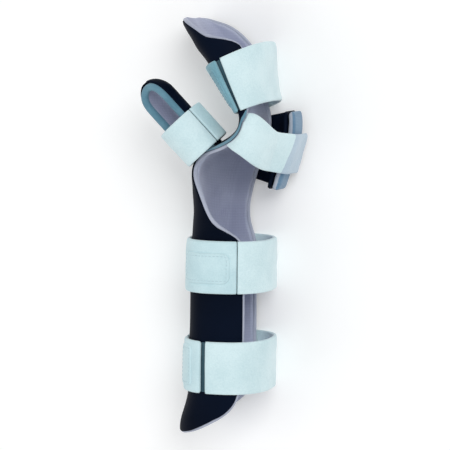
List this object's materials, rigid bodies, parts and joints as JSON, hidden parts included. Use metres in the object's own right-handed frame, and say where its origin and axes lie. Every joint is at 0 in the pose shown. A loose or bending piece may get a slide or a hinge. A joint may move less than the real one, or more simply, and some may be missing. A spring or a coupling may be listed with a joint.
{
  "type": "resting hand splint",
  "caption": "Resting splint for a right forearm, wrist and hand: dark trough with foam lining, finger pan, thumb spoon, side wing and pale hook-and-loop straps.",
  "frame": {"origin": "under the middle of the bounding box, on the surface that the splint lies on", "axes": "+X towards the back of the hand, +Y towards the fingertips, +Z towards the thumb side"},
  "size_m": [0.1154, 0.3118, 0.0897],
  "materials": {
    "shell": "matte navy black",
    "lining": "grey-blue brushed foam laminate",
    "strap": "pale loop pile",
    "tab": "pale stitched hook tab",
    "pad": "grey-blue covered foam"
  },
  "bodies": {
    "root": {"shell": "shell", "shell_lining": "lining", "thumb_trough": "shell", "thumb_lining": "lining", "ulnar_wing": "shell", "wing_pad": "pad", "forearm_strap": "strap", "wrist_strap": "strap", "hand_strap": "strap", "finger_strap": "strap", "thumb_strap": "strap", "forearm_tab": "tab", "wrist_tab": "tab", "finger_tab": "tab", "thumb_tab": "tab"}
  },
  "joints": []
}
